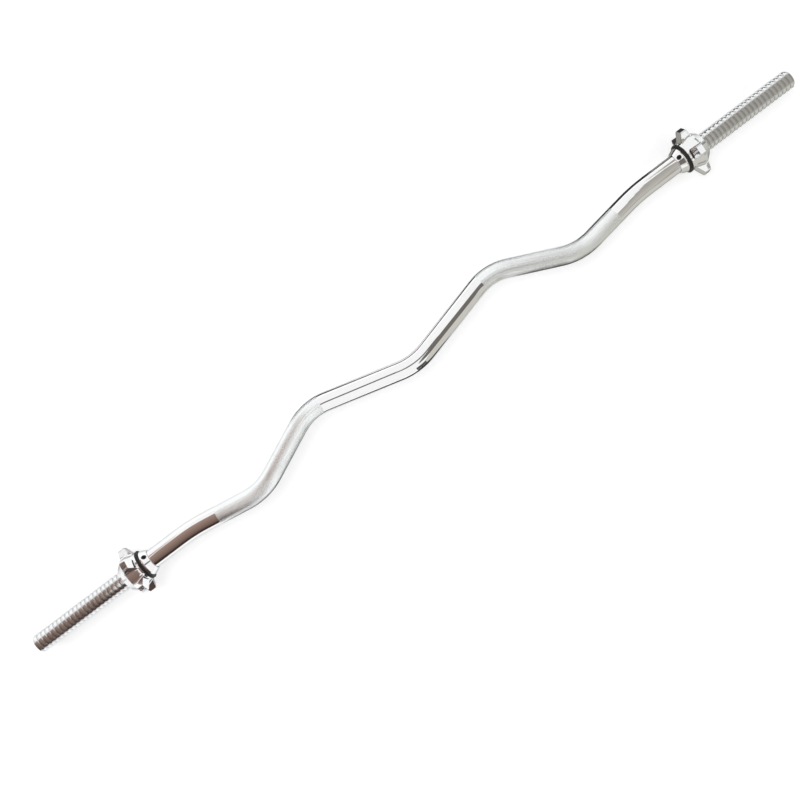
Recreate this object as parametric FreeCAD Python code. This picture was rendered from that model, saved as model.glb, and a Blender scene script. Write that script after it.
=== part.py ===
import FreeCAD, Part
import math
import os

from FreeCAD import Vector

# EZ curl bar: one bent chrome rod with a thread cut on each end. Each end carries a tapered stop collar
# with its grub screw, a rubber ring and a five-lobed star nut that screws along the thread.
# The rod is cut square where its finish changes: polished middle, knurled grips, polished shoulders
# and threaded ends, so that each stretch has its own finish and follows its own bends.
# Millimetres and degrees. X runs along the two sleeves, the bends lie in the level plane and +Z is up.
# The bar lies on a floor at Z = 0, with the origin under the middle of its box.

# Rod
overall_length = 1200.0
rod_diameter = 25.0
tip_chamfer = 2.0

# Stretches of the rod, measured along its bends
middle_length = 263.0
grip_length = 199.5

# Bends of the rod: distance from the middle along X, offset in Y from the sleeves' axis, and radius
centre_bend_offset = -4.5
centre_bend_radius = 85.0
inner_bend_station = 144.0
inner_bend_offset = 33.5
inner_bend_radius = 70.0
outer_bend_station = 254.0
outer_bend_offset = -16.3
outer_bend_radius = 80.0
shoulder_station = 354.0
shoulder_bend_radius = 235.0

# Thread on both sleeves, right-handed, and the play of the nut on it
sleeve_length = 172.0
thread_pitch = 6.35
thread_depth = 1.5
thread_root_width = 1.6
thread_flank_angle = 30.0
thread_play = 0.4
thread_run_in = 1.5
thread_lead_in_turns = 2

# Stop collar: a tapered nose towards the handle and a short land at the face that the plates meet
collar_length = 10.3
collar_land = 2.3
collar_wall = 5.25
collar_nose_wall = 1.5
collar_clearance = 0.05

# Grub screw that locks the stop collar, its place behind the collar's face and its seat in the rod
grub_diameter = 6.0
grub_length = 4.0
grub_setback = 6.2
grub_clearance = 0.05
grub_seat_depth = 2.0
grub_socket_sides = 6
grub_socket_across = 3.0
grub_socket_depth = 2.0

# Rubber ring between the stop collar and the star nut
ring_thickness = 3.6
ring_width = 4.7
ring_edge_radius = 0.8
ring_clearance = 0.3

# Star nut, from the ring outwards: lengths along X, and walls measured from the thread.
# The floor of the valleys between the lobes steps up from the hub, then rises to its full radius as a cone.
spigot_length = 2.4
spigot_wall = 2.6
hub_length = 2.5
hub_wall = 7.1
lobe_count = 5
lobe_width = 13.3
lobe_reach = 10.0
lobe_flare = 5.6
lobe_thickness = 7.7
lobe_corner_radius = 1.6
valley_step = 0.4
valley_rise = 10.4
valley_wall = 10.6
valley_corner_radius = 3.0
shoulder_length = 3.9
nose_length = 8.3
nose_wall = 4.1

# Turn of each star nut and grub screw about the sleeve, from straight up towards -Y
nut_turns = {"right": 0.0, "left": 36.0}
grub_turns = {"right": -23.0, "left": -41.0}

half_length = overall_length / 2
rod_radius = rod_diameter / 2
grub_radius = grub_diameter / 2
collar_face = half_length - sleeve_length
collar_bore = rod_radius + collar_clearance
grub_station = collar_face - grub_setback
thread_start = collar_face - thread_run_in
thread_origin = thread_start - thread_lead_in_turns * thread_pitch
nut_face = collar_face + ring_thickness
nut_bore = rod_radius + thread_play
spigot_radius = nut_bore + spigot_wall
hub_radius = nut_bore + hub_wall
valley_radius = nut_bore + valley_wall
lobe_radius = valley_radius + lobe_reach
nose_radius = nut_bore + nose_wall
ring_bore = spigot_radius + ring_clearance
spigot_start = nut_face - spigot_length
hub_end = nut_face + hub_length
valley_start = hub_end + valley_rise
lobe_start = hub_end + lobe_flare
lobe_end = lobe_start + lobe_thickness
shoulder_end = lobe_end + shoulder_length
nut_end = shoulder_end + nose_length

# Room that a cutting or limiting shape has past the surface that it works on
spare = 1.0

# Shortest run of a path that is worth an edge of its own
shortest_run = 0.001

centre = Vector(0, 0, 0)
x_axis = Vector(1, 0, 0)
y_axis = Vector(0, 1, 0)
z_axis = Vector(0, 0, 1)


def revolved(outline):
    """A solid of revolution about X from a closed outline of (x, radius) corners."""
    corners = [Vector(x, radius, 0) for x, radius in outline]
    face = Part.Face(Part.makePolygon(corners + corners[:1]))
    return face.revolve(centre, x_axis, 360)


def rounded_path(corners, radii):
    """The edges of straight runs joined by tangent arcs, with one radius for each inner corner."""
    edges = []
    start = corners[0]
    for before, corner, after, radius in zip(corners, corners[1:], corners[2:], radii):
        arriving = (corner - before).normalize()
        leaving = (after - corner).normalize()
        turn = arriving.getAngle(leaving)
        setback = radius * math.tan(turn / 2)
        arc_start = corner - arriving * setback
        arc_end = corner + leaving * setback
        inwards = (leaving - arriving).normalize()
        arc_middle = corner + inwards * radius * (1 / math.cos(turn / 2) - 1)
        edges.append(Part.LineSegment(start, arc_start).toShape())
        edges.append(Part.Arc(arc_start, arc_middle, arc_end).toShape())
        start = arc_end
    edges.append(Part.LineSegment(start, corners[-1]).toShape())
    return edges


def path_stretch(edges, start, end):
    """The wire along a path between two distances from its start."""
    kept = []
    passed = 0
    for edge in edges:
        first = max(start - passed, 0)
        last = min(end - passed, edge.Length)
        if last - first > shortest_run:
            limits = [edge.getParameterByLength(distance) for distance in (first, last)]
            kept.append(edge.Curve.toShape(*limits))
        passed += edge.Length
    return Part.Wire(kept)


def rod_along(path):
    """A length of plain rod along a wire, cut square at both ends."""
    first = path.Edges[0]
    begin = first.FirstParameter
    section = Part.makeCircle(rod_radius, first.valueAt(begin), first.tangentAt(begin))
    return path.makePipeShell([Part.Wire(section)], True)


def thread_profile(play):
    """Corners (radius, axial) of one turn of the rod's thread, grown all round by the play."""
    angle = math.radians(thread_flank_angle)
    flank = thread_depth * math.tan(angle)
    crest_half = (thread_pitch - thread_root_width) / 2 - flank
    crest_half += play / math.cos(angle) - play * math.tan(angle)
    crest = rod_radius + play
    root = crest - thread_depth
    return [
        (crest, -crest_half),
        (crest, crest_half),
        (root, crest_half + flank),
        (root, thread_pitch - crest_half - flank),
        (crest, thread_pitch - crest_half),
    ]


def threaded_core(end, play):
    """A threaded bolt on the right sleeve from the thread's origin past this end, in step with the rod."""
    profile = thread_profile(play)
    helices = []
    for radius, axial in profile:
        helix = Part.makeHelix(thread_pitch, thread_pitch, radius).Edges[0]
        helices.append(helix.translated(z_axis * axial))
    turn_faces = [Part.makeRuledSurface(low, high) for low, high in zip(helices, helices[1:])]
    rim = [Vector(radius, 0, axial) for radius, axial in profile]
    foot = Vector(0, 0, rim[0].z)
    top = Vector(0, 0, rim[-1].z)
    spine = Part.LineSegment(foot, top).toShape()
    cap_faces = [
        Part.makeRuledSurface(spine, helices[0]),
        Part.Face(Part.makePolygon([foot, *rim, top, foot])),
    ]
    turns = math.ceil((end - thread_origin) / thread_pitch) + 1
    faces = []
    for turn in range(turns):
        faces += [face.translated(z_axis * thread_pitch * turn) for face in turn_faces]
    for turn in (0, turns):
        faces += [face.translated(z_axis * thread_pitch * turn) for face in cap_faces]
    shell = Part.makeShell(faces)
    shell.sewShape()
    core = Part.makeSolid(shell)
    if core.Volume < 0:
        core.reverse()
    core.rotate(centre, y_axis, 90)
    core.translate(x_axis * thread_origin)
    return core


def plain_stretches():
    """The stretches of rod between the two threads, by node name."""
    right_corners = [
        Vector(inner_bend_station, inner_bend_offset, 0),
        Vector(outer_bend_station, outer_bend_offset, 0),
        Vector(shoulder_station, 0, 0),
        Vector(thread_start, 0, 0),
    ]
    left_corners = [Vector(-corner.x, corner.y, 0) for corner in reversed(right_corners)]
    corners = left_corners + [Vector(0, centre_bend_offset, 0)] + right_corners
    right_radii = [inner_bend_radius, outer_bend_radius, shoulder_bend_radius]
    edges = rounded_path(corners, right_radii[::-1] + [centre_bend_radius] + right_radii)
    half_path = sum(edge.Length for edge in edges) / 2
    grip_start = middle_length / 2
    grip_end = grip_start + grip_length
    spans = {
        "polished_middle": (-grip_start, grip_start),
        "knurled_grip_right": (grip_start, grip_end),
        "knurled_grip_left": (-grip_end, -grip_start),
        "polished_shoulder_right": (grip_end, half_path),
        "polished_shoulder_left": (-half_path, -grip_end),
    }
    return {
        node: rod_along(path_stretch(edges, half_path + begin, half_path + end))
        for node, (begin, end) in spans.items()
    }


def threaded_end():
    """The right end of the rod: its thread, cut off square behind the collar and chamfered at the tip."""
    limit = revolved([
        (thread_start, 0),
        (thread_start, rod_radius + spare),
        (half_length - tip_chamfer - spare, rod_radius + spare),
        (half_length, rod_radius - tip_chamfer),
        (half_length, 0),
    ])
    return threaded_core(half_length, 0).common(limit)


def grub_hole(start_radius, turn):
    """A round hole through the right stop collar's wall, from this radius outwards."""
    hole = Part.makeCylinder(grub_radius + grub_clearance, collar_wall + rod_radius)
    hole.translate(Vector(grub_station, 0, start_radius))
    hole.rotate(centre, x_axis, turn)
    return hole


def stop_collar(turn):
    """The right stop collar with its hole for the grub screw."""
    body = revolved([
        (collar_face - collar_length, collar_bore),
        (collar_face - collar_length, rod_radius + collar_nose_wall),
        (collar_face - collar_land, rod_radius + collar_wall),
        (collar_face, rod_radius + collar_wall),
        (collar_face, collar_bore),
    ])
    return body.cut(grub_hole(0, turn))


def grub_screw(turn):
    """The right grub screw, from its seat in the rod outwards, with a hexagon socket."""
    screw = Part.makeCylinder(grub_radius, grub_length)
    corner_radius = grub_socket_across / 2 / math.cos(math.pi / grub_socket_sides)
    first_corner = Vector(corner_radius, 0, grub_length)
    corners = []
    for side in range(grub_socket_sides):
        step = FreeCAD.Rotation(z_axis, 360 / grub_socket_sides * side)
        corners.append(step.multVec(first_corner))
    socket = Part.Face(Part.makePolygon(corners + corners[:1])).extrude(z_axis * -grub_socket_depth)
    screw = screw.cut(socket)
    screw.translate(Vector(grub_station, 0, rod_radius - grub_seat_depth))
    screw.rotate(centre, x_axis, turn)
    return screw


def rubber_ring():
    """The right rubber ring, flat against the collar and the nut, with rounded outer edges."""
    ring_radius = ring_bore + ring_width
    ring = revolved([
        (collar_face, ring_bore),
        (collar_face, ring_radius),
        (nut_face, ring_radius),
        (nut_face, ring_bore),
    ])
    rims = [
        edge for edge in ring.Edges
        if isinstance(edge.Curve, Part.Circle) and edge.Curve.Radius > ring_radius - ring_edge_radius
    ]
    return ring.makeFillet(ring_edge_radius, rims)


def star_outline(station, floor_radius):
    """A wire across X with the star's outline: straight-sided lobes over a valley floor of this radius."""
    half_width = lobe_width / 2
    step = 360 / lobe_count
    root_sideways = half_width + valley_corner_radius
    root_distance = floor_radius + valley_corner_radius
    root_turn = math.asin(root_sideways / root_distance)
    root_radial = root_distance * math.cos(root_turn)
    tip_radial = lobe_radius - lobe_corner_radius
    tip_sideways = half_width - lobe_corner_radius

    def arc_corners(radial, sideways, radius, first, last):
        """Start, middle and end of an arc between two angles, for the lobe that points straight up."""
        return [
            (radial + radius * math.cos(angle), sideways + radius * math.sin(angle))
            for angle in (first, (first + last) / 2, last)
        ]

    def mirrored(corners):
        """The same arc on the lobe's other side, run through backwards."""
        return [(radial, -sideways) for radial, sideways in reversed(corners)]

    def carried(corners, turn):
        """Corners of the upright lobe, turned about the sleeve."""
        rotation = FreeCAD.Rotation(x_axis, turn)
        return [rotation.multVec(Vector(station, sideways, radial)) for radial, sideways in corners]

    from_floor, to_flank = root_turn - math.pi, -math.pi / 2
    root_arc = arc_corners(root_radial, root_sideways, valley_corner_radius, from_floor, to_flank)
    tip_arc = arc_corners(tip_radial, tip_sideways, lobe_corner_radius, math.pi / 2, 0)
    edges = []
    for lobe in range(lobe_count):
        turn = step * lobe
        lobe_arcs = [root_arc, tip_arc, mirrored(tip_arc), mirrored(root_arc)]
        arcs = [carried(corners, turn) for corners in lobe_arcs]
        for corners, following in zip(arcs, arcs[1:]):
            edges.append(Part.Arc(*corners).toShape())
            edges.append(Part.LineSegment(corners[-1], following[0]).toShape())
        edges.append(Part.Arc(*arcs[-1]).toShape())
        floor_middle = carried([(floor_radius, 0)], turn + step / 2)
        next_root = carried(root_arc, turn + step)
        edges.append(Part.Arc(arcs[-1][-1], floor_middle[0], next_root[0]).toShape())
    return Part.Wire(edges)


def star_limit():
    """The space inside the star's outline, with a valley floor that rises from the hub as a cone."""
    stations = [
        (hub_end, hub_radius + valley_step),
        (valley_start, valley_radius),
        (nut_end, valley_radius),
    ]
    star = Part.makeLoft([star_outline(*station) for station in stations], True, True)
    hub = revolved([
        (spigot_start, 0),
        (spigot_start, hub_radius + spare),
        (hub_end, hub_radius + spare),
        (hub_end, 0),
    ])
    return star.fuse(hub)


def star_body(turn):
    """The right star nut before its thread is cut, turned about the sleeve."""
    rim_radius = math.hypot(lobe_radius, lobe_width / 2) + spare
    flare_slope = lobe_flare / (lobe_radius - hub_radius)
    shoulder_slope = shoulder_length / lobe_reach
    envelope = revolved([
        (spigot_start, 0),
        (spigot_start, spigot_radius),
        (nut_face, spigot_radius),
        (nut_face, hub_radius),
        (hub_end, hub_radius),
        (lobe_start + flare_slope * (rim_radius - lobe_radius), rim_radius),
        (lobe_end - shoulder_slope * (rim_radius - lobe_radius), rim_radius),
        (shoulder_end, valley_radius),
        (nut_end, nose_radius),
        (nut_end, 0),
    ])
    body = envelope.common(star_limit())
    body.rotate(centre, x_axis, turn)
    return body


def on_side(shape, side):
    """A part of the right sleeve carried to its own side, half a turn about Z for the left."""
    return shape if side == "right" else shape.rotated(centre, z_axis, 180)


def local_turn(turns, side):
    """The turn about X that a piece needs before it is carried to its side."""
    return turns[side] if side == "right" else -turns[side]


def build():
    """Every piece in the sleeves' own frame, by node name, and the shift that puts the bar on the floor."""
    pieces = plain_stretches()
    outer_shapes = list(pieces.values())
    for side in nut_turns:
        grub_turn = local_turn(grub_turns, side)
        body = star_body(local_turn(nut_turns, side))
        outer_shapes.append(on_side(body, side))
        grub_seat = on_side(grub_hole(rod_radius - grub_seat_depth, grub_turn), side)
        shoulder = "polished_shoulder_" + side
        pieces[shoulder] = pieces[shoulder].cut(grub_seat)
        pieces["threaded_end_" + side] = on_side(threaded_end(), side)
        pieces["stop_collar_" + side] = on_side(stop_collar(grub_turn), side)
        pieces["grub_screw_" + side] = on_side(grub_screw(grub_turn), side)
        pieces["rubber_ring_" + side] = on_side(rubber_ring(), side)
        pieces["star_nut_" + side] = on_side(body.cut(threaded_core(nut_end, thread_play)), side)
    box = Part.makeCompound(outer_shapes).optimalBoundingBox()
    return pieces, Vector(0, -box.Center.y, -box.ZMin)


os.makedirs("parts", exist_ok=True)
pieces, shift = build()
print("sleeve axis at Y %.4f, Z %.4f" % (shift.y, shift.z))
for node, piece in pieces.items():
    solid = piece.Solids[0].translated(shift)
    print("%-24s solids %d valid %s volume %.1f" % (node, len(piece.Solids), solid.isValid(), solid.Volume))
    solid.exportStep("parts/" + node + ".step")
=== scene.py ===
"""Dresses the EZ curl bar: a bent chrome rod with knurled grips, threaded ends, collars and star nuts."""
from __future__ import annotations

import logging
import math
from collections.abc import Callable, Iterator, Sequence
from contextlib import contextmanager
from dataclasses import dataclass, field
from enum import Enum

import bmesh
import bpy
from mathutils import Matrix, Vector

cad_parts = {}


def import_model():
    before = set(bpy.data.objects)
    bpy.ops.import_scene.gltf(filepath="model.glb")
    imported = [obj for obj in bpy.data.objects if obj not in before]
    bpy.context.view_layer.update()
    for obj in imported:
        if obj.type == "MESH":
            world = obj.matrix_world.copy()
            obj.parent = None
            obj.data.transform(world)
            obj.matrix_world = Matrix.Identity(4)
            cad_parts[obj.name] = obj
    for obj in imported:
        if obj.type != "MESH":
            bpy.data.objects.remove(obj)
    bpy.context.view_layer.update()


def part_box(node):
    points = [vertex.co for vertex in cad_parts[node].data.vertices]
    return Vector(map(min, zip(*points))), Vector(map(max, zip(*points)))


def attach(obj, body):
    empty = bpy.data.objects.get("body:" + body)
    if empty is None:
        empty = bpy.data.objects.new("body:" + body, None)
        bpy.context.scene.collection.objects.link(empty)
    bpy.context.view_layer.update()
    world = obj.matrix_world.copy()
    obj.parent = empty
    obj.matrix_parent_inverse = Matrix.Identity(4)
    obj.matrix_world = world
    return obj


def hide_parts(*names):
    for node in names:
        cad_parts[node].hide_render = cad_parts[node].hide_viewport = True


log = logging.getLogger("curl_bar")

MM = 0.001
# How near two places are to count as one: when welded, when compared, and when a row of a mesh is sought
WELD = 0.002 * MM
SAME = 0.01 * MM
SLACK = 0.1 * MM
CREST = "crest"

Colour = tuple[float, float, float]
Corner = tuple[float, float]
Place = tuple[float, float, float]
Area = tuple[float, float, float, float]
Piece = bpy.types.Object
Material = bpy.types.Material
Tree = bpy.types.NodeTree
Node = bpy.types.Node
Socket = bpy.types.NodeSocket
Feed = float | Socket
Feeds = dict[str | int, object]


class Side(Enum):
    """The two ends of the bar."""

    RIGHT = "right"
    LEFT = "left"

    @property
    def heading(self) -> float:
        """Turn about the upright axis that carries a right-hand piece to this end, in radians."""
        return 0.0 if self is Side.RIGHT else math.pi

    @property
    def sign(self) -> int:
        """Which way this end points along X."""
        return 1 if self is Side.RIGHT else -1


# Modelling bench

def clear_selection() -> None:
    """Deselect every object."""
    bpy.ops.object.select_all(action="DESELECT")


def activate(piece: Piece) -> None:
    """Make one piece the only selected and the active one.

    Args:
        piece: The object to work on.
    """
    clear_selection()
    piece.select_set(True)
    bpy.context.view_layer.objects.active = piece


@contextmanager
def editing(piece: Piece) -> Iterator[None]:
    """Open a piece in edit mode, selected all over, and close it again.

    Args:
        piece: The object to edit.
    """
    activate(piece)
    bpy.ops.object.mode_set(mode="EDIT")
    bpy.ops.mesh.select_all(action="SELECT")
    yield
    bpy.ops.object.mode_set(mode="OBJECT")


class Element(Enum):
    """What is selected in edit mode."""

    VERTEX = "VERT"
    EDGE = "EDGE"
    FACE = "FACE"


def pick(piece: Piece, kind: Element, wanted: Callable[..., bool]) -> None:
    """Select the vertices, edges or faces of the edited piece by their places.

    Args:
        piece: The object in edit mode.
        kind: What is selected.
        wanted: Says whether one is selected, from a vertex's place, an edge's two ends or a face's centre.
    """
    bpy.ops.mesh.select_mode(type=kind.value)
    bpy.ops.mesh.select_all(action="DESELECT")
    mesh = bmesh.from_edit_mesh(piece.data)
    if kind is Element.FACE:
        found = [(face, [face.calc_center_median()]) for face in mesh.faces]
    elif kind is Element.EDGE:
        found = [(edge, [vertex.co for vertex in edge.verts]) for edge in mesh.edges]
    else:
        found = [(vertex, [vertex.co]) for vertex in mesh.verts]
    for element, places in found:
        if wanted(*places):
            element.select_set(True)
    mesh.select_flush_mode()
    bmesh.update_edit_mesh(piece.data)


def clean_up(piece: Piece) -> None:
    """Merge doubles and point every face outwards.

    Args:
        piece: The object to clean, in object mode.
    """
    with editing(piece):
        bpy.ops.mesh.remove_doubles(threshold=WELD)
        bpy.ops.mesh.normals_make_consistent(inside=False)


def apply_modifier(piece: Piece, kind: str, **settings: object) -> None:
    """Add a modifier to a piece and apply it.

    Args:
        piece: The object that gets the modifier.
        kind: The modifier's type.
        **settings: The modifier's own settings.
    """
    activate(piece)
    modifier = piece.modifiers.new(kind.title(), kind)
    for name, value in settings.items():
        setattr(modifier, name, value)
    bpy.ops.object.modifier_apply(modifier=modifier.name)


def carve(piece: Piece, tool: Piece, operation: str = "DIFFERENCE") -> None:
    """Cut a piece with a closed tool, or keep what both share, and throw the tool away."""
    apply_modifier(piece, "BOOLEAN", object=tool, operation=operation, solver="EXACT")
    discard(tool)


def discard(*pieces: Piece) -> None:
    """Throw tools and patterns away."""
    for piece in pieces:
        bpy.data.meshes.remove(piece.data)


def newly_added(name: str) -> Piece:
    """Name the object that was added last and put its place into its mesh.

    Args:
        name: Its name, and its mesh's.

    Returns:
        The new object.
    """
    piece = bpy.context.active_object
    piece.name = name
    piece.data.name = name
    bpy.ops.object.transform_apply(location=True, rotation=True, scale=True)
    return piece


def ring_of_points(name: str, count: int, radius: float) -> Piece:
    """Add a closed ring of vertices round the X axis at the origin.

    Args:
        name: The new object's name.
        count: How many vertices it has.
        radius: Its radius in metres.

    Returns:
        The new mesh object, with no faces.
    """
    clear_selection()
    bpy.ops.mesh.primitive_circle_add(vertices=count, radius=radius, rotation=(0, math.pi / 2, 0))
    return newly_added(name)


def outline(name: str, corners: Sequence[Corner], closed: bool = True) -> Piece:
    """Draw an outline in the half plane above the X axis by moving a ring's vertices to its corners.

    Args:
        name: The new object's name.
        corners: Each corner as its place along X and its distance from the X axis.
        closed: Whether the last corner joins the first.

    Returns:
        The new mesh object, a chain of edges.
    """
    chain = ring_of_points(name, len(corners), radius=1.0)
    with editing(chain):
        bpy.ops.mesh.select_mode(type="VERT")
        targets = [Vector((along, 0, radius)) for along, radius in corners]
        for number, target in enumerate(targets):
            bpy.ops.mesh.select_all(action="DESELECT")
            mesh = bmesh.from_edit_mesh(chain.data)
            mesh.verts.ensure_lookup_table()
            mesh.verts[number].select_set(True)
            bpy.ops.transform.translate(value=target - mesh.verts[number].co)
        if not closed:
            ends = (targets[0], targets[-1])
            pick(chain, Element.EDGE, lambda *tips: all(any(near(tip, end) for tip in tips) for end in ends))
            bpy.ops.mesh.delete(type="EDGE_FACE")
    return chain


def near(place: Vector, target: Vector) -> bool:
    """Whether two places are the same."""
    return (place - target).length < SAME


def spin(piece: Piece, steps: int, angle: float, repeat: bool = False) -> None:
    """Sweep an outline round the X axis, or repeat a piece round it.

    Args:
        piece: The outline or the piece.
        steps: How many steps there are.
        angle: The whole turn in radians.
        repeat: Whether each step is a copy of the piece.
    """
    with editing(piece):
        bpy.ops.mesh.spin(steps=steps, dupli=repeat, angle=angle, center=(0, 0, 0), axis=(1, 0, 0))
    clean_up(piece)


def lathe(name: str, corners: Sequence[Corner], steps: int) -> Piece:
    """Spin a closed outline once round the X axis.

    Args:
        name: The new object's name.
        corners: The outline's corners, as for outline.
        steps: How many faces go round.

    Returns:
        The turned piece, a closed mesh.
    """
    piece = outline(name, corners)
    spin(piece, steps, math.tau)
    return piece


def round_edges(piece: Piece, width: float, segments: int, sharper_than: float) -> None:
    """Round every edge sharper than an angle in degrees, to a width each way and with so many faces."""
    limit = math.radians(sharper_than)
    apply_modifier(piece, "BEVEL", width=width, segments=segments, limit_method="ANGLE", angle_limit=limit)


def smooth(piece: Piece, angle: float = 30) -> None:
    """Shade a piece smooth, apart from edges sharper than an angle in degrees."""
    activate(piece)
    bpy.ops.object.shade_smooth_by_angle(angle=math.radians(angle))


def flatten_faces(piece: Piece) -> None:
    """Keep broad faces flat in the shading beside the rounding of their edges."""
    apply_modifier(piece, "WEIGHTED_NORMAL", mode="FACE_AREA", weight=100, keep_sharp=True)


def copied(pattern: Piece, name: str) -> Piece:
    """Copy a piece with its own mesh.

    Args:
        pattern: The piece to copy.
        name: The copy's name.

    Returns:
        The copy.
    """
    activate(pattern)
    bpy.ops.object.duplicate(linked=False)
    return newly_added(name)


def settle(piece: Piece, place: Vector, turn: float = 0.0, heading: float = 0.0) -> None:
    """Turn a piece about X, then about Z, move it to its place and put that into its mesh.

    Args:
        piece: The piece, modelled round the X axis at the origin.
        place: Where its origin goes.
        turn: The turn about X in radians.
        heading: The turn about Z in radians.
    """
    activate(piece)
    piece.location = place
    piece.rotation_euler = (turn, 0, heading)
    bpy.ops.object.transform_apply(location=True, rotation=True, scale=True)


# Shader wiring

VECTOR = "NodeSocketVector"
FLOAT = "NodeSocketFloat"


def put(tree: Tree, kind: str, feeds: Feeds | None = None, **settings: object) -> Node:
    """Add a node to a tree and feed its inputs.

    Args:
        tree: The tree of a material, a world or a group.
        kind: The node's type.
        feeds: What each input gets, by its name or number: another node's output, or a value.
        **settings: The node's own settings.

    Returns:
        The new node.
    """
    node = tree.nodes.new(kind)
    for name, value in settings.items():
        setattr(node, name, value)
    for socket, value in (feeds or {}).items():
        if isinstance(value, Socket):
            tree.links.new(value, node.inputs[socket])
        else:
            node.inputs[socket].default_value = value
    return node


def maths(tree: Tree, operation: str, first: Feed, second: Feed) -> Socket:
    """Wire one step of arithmetic."""
    return put(tree, "ShaderNodeMath", {0: first, 1: second}, operation=operation).outputs[0]


def spread(tree: Tree, value: Socket, start: Feed = 0.0, end: Feed = 1.0,
           low: Feed = 0.0, high: Feed = 1.0) -> Socket:
    """Carry a value over from the range between start and end to the one between low and high."""
    limits = {"From Min": start, "From Max": end, "To Min": low, "To Max": high}
    return put(tree, "ShaderNodeMapRange", {"Value": value, **limits}).outputs["Result"]


def noise(tree: Tree, place: Socket, scale: Feed, detail: float, roughness: float = 0.5) -> Socket:
    """Wire a cloud of noise."""
    looks = {"Scale": scale, "Detail": detail, "Roughness": roughness}
    return put(tree, "ShaderNodeTexNoise", {"Vector": place, **looks}).outputs["Fac"]


def mixed(tree: Tree, share: Socket, first: Colour, second: Colour) -> Socket:
    """Mix two colours by a share that goes from nought for the first to one for the second."""
    feeds = {0: share, 6: opaque(first), 7: opaque(second)}
    return put(tree, "ShaderNodeMix", feeds, data_type="RGBA").outputs[2]


def opaque(colour: Colour) -> tuple[float, float, float, float]:
    """A colour with its alpha of one."""
    return (*colour, 1.0)


class Effect:
    """A shader node group that is built once and placed in every finish that shows its effect."""

    name = "effect"
    inputs: dict[str, str] = {}
    outputs: tuple[str, ...] = ()

    def group(self) -> Tree:
        """Find the group, or build it the first time.

        Returns:
            The shader node group.
        """
        found = bpy.data.node_groups.get(self.name)
        if found:
            return found
        tree = bpy.data.node_groups.new(self.name, "ShaderNodeTree")
        for label, kind in self.inputs.items():
            tree.interface.new_socket(name=label, in_out="INPUT", socket_type=kind)
        for label in self.outputs:
            tree.interface.new_socket(name=label, in_out="OUTPUT", socket_type=FLOAT)
        entry = tree.nodes.new("NodeGroupInput")
        leaving = tree.nodes.new("NodeGroupOutput")
        for label, value in self.wire(tree, entry).items():
            tree.links.new(value, leaving.inputs[label])
        return tree

    def wire(self, tree: Tree, entry: Node) -> dict[str, Socket]:
        """Wire the group from its input node to the sockets that its outputs carry."""
        raise NotImplementedError

    def place(self, tree: Tree, feeds: Feeds) -> Node:
        """Put the group into a material and feed its inputs."""
        return put(tree, "ShaderNodeGroup", feeds, node_tree=self.group())


class PlateHaze(Effect):
    """Cloudy haze in a plated surface, with finer wiping marks over it."""

    name = "plate_haze"
    inputs = {"Vector": VECTOR, "Scale": FLOAT, "Clear": FLOAT, "Dull": FLOAT}
    outputs = ("Roughness", "Cloud")
    finer = 9.0
    thinnest = 0.12
    thickest = 0.42

    def wire(self, tree: Tree, entry: Node) -> dict[str, Socket]:
        """Mix a broad cloud with a fine one and spread them between the two roughness values.

        Args:
            tree: The group's own tree.
            entry: The node that gives its inputs.

        Returns:
            What each output carries.
        """
        given = entry.outputs
        broad = noise(tree, given["Vector"], given["Scale"], detail=3.0)
        scale = maths(tree, "MULTIPLY", given["Scale"], self.finer)
        fine = noise(tree, given["Vector"], scale, detail=5.0, roughness=0.6)
        cloud = spread(tree, maths(tree, "MULTIPLY", broad, fine), self.thinnest, self.thickest)
        return {"Roughness": spread(tree, cloud, low=given["Clear"], high=given["Dull"]), "Cloud": cloud}


class SurfaceWave(Effect):
    """The slight waviness of metal that was polished or cast before it was plated."""

    name = "surface_wave"
    inputs = {"Vector": VECTOR, "Scale": FLOAT, "Fine": FLOAT}
    outputs = ("Height",)
    finer = 14.0

    def wire(self, tree: Tree, entry: Node) -> dict[str, Socket]:
        """Add a share of fine grain to a broad wave.

        Args:
            tree: The group's own tree.
            entry: The node that gives its inputs.

        Returns:
            What each output carries.
        """
        given = entry.outputs
        broad = noise(tree, given["Vector"], given["Scale"], detail=1.0)
        scale = maths(tree, "MULTIPLY", given["Scale"], self.finer)
        grain = noise(tree, given["Vector"], scale, detail=2.0)
        share = maths(tree, "MULTIPLY", grain, given["Fine"])
        return {"Height": maths(tree, "ADD", broad, share)}


class ToolLines(Effect):
    """The fine rings that a lathe tool leaves round the bar's axis."""

    name = "tool_lines"
    inputs = {"Vector": VECTOR, "Pitch": FLOAT}
    outputs = ("Height",)

    def wire(self, tree: Tree, entry: Node) -> dict[str, Socket]:
        """Read the place along X as turns of the tool and vary each turn's depth.

        Args:
            tree: The group's own tree.
            entry: The node that gives its inputs.

        Returns:
            What each output carries.
        """
        along = put(tree, "ShaderNodeSeparateXYZ", {"Vector": entry.outputs["Vector"]}).outputs["X"]
        feeds = {"W": maths(tree, "DIVIDE", along, entry.outputs["Pitch"]), "Scale": 1.0, "Detail": 2.0}
        return {"Height": put(tree, "ShaderNodeTexNoise", feeds, noise_dimensions="1D").outputs["Fac"]}


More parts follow.
